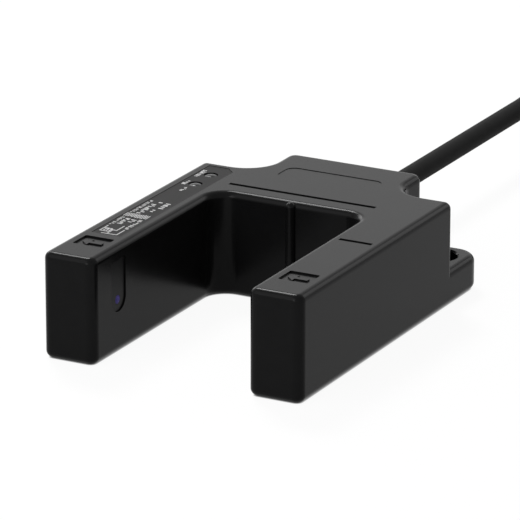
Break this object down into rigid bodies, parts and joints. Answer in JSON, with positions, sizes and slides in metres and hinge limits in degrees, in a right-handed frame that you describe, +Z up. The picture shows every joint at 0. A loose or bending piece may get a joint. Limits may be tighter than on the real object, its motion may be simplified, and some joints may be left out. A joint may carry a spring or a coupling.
{
  "type": "fork photoelectric sensor",
  "caption": "U-shaped fork light-barrier sensor: hollow moulded case with facing optics in its arms, indicator lamps, screw ears and a cable out of the rear.",
  "frame": {"origin": "under the middle of the case (without bush and cable), on the plane that it stands on", "axes": "+X from the receiver arm to the emitter arm, +Y from the arm tips to the cable, +Z up through the top face"},
  "size_m": [0.118, 0.3581, 0.0325],
  "materials": {
    "case_plastic": "fine matt moulded grain",
    "cover_plastic": "fine matt moulded grain",
    "label_film": "satin printed film",
    "label_print": "white print on the label",
    "window_plastic": "polished dark filter plastic",
    "violet_lens": "polished, deep violet",
    "clear_dome": "clear polished plastic",
    "holder_plastic": "matt black",
    "emitter_resin": "clear bluish resin",
    "receiver_resin": "black filter resin",
    "green_resin": "green diffused resin",
    "orange_resin": "orange diffused resin",
    "board_laminate": "green varnished laminate",
    "chip_plastic": "matt black epoxy",
    "capacitor_can": "satin",
    "resistor_body": "glazed black",
    "diode_body": "orange glassy body",
    "screw_steel": "zinc plated",
    "bush_rubber": "soft matt black",
    "cable_jacket": "smooth satin jacket",
    "core_brown": "smooth insulation",
    "core_blue": "smooth insulation",
    "core_black": "smooth insulation",
    "core_white": "smooth insulation",
    "tinned_copper": "tinned strands"
  },
  "bodies": {
    "root": {"case": "case_plastic", "bottom_cover": "cover_plastic", "cover_screws": "screw_steel", "label": "label_film", "power_indicator_lens": "clear_dome", "output_indicator_lens": "clear_dome", "power_led": "green_resin", "output_led": "orange_resin", "emitter_window": "window_plastic", "receiver_window": "window_plastic", "emitter_lens": "violet_lens", "receiver_lens": "violet_lens", "emitter_holder": "holder_plastic", "receiver_holder": "holder_plastic", "emitter_diode": "emitter_resin", "receiver_transistor": "receiver_resin", "emitter_board": "board_laminate", "receiver_board": "board_laminate", "emitter_wires": "core_black", "receiver_wires": "core_black", "main_board": "board_laminate", "board_screws": "screw_steel", "comparator_chip": "chip_plastic", "output_transistor": "chip_plastic", "smoothing_capacitor": "capacitor_can", "resistors": "resistor_body", "protection_diodes": "diode_body", "cable_bush": "bush_rubber", "cable_clamp": "holder_plastic", "clamp_screws": "screw_steel", "cable_lead_in": "cable_jacket", "lead_core_brown": "core_brown", "lead_core_blue": "core_blue", "lead_core_black": "core_black", "lead_core_white": "core_white", "cable": "cable_jacket", "cable_coil": "cable_jacket", "end_core_brown": "core_brown", "end_core_blue": "core_blue", "end_core_black": "core_black", "end_core_white": "core_white", "core_ends": "tinned_copper"}
  },
  "joints": []
}
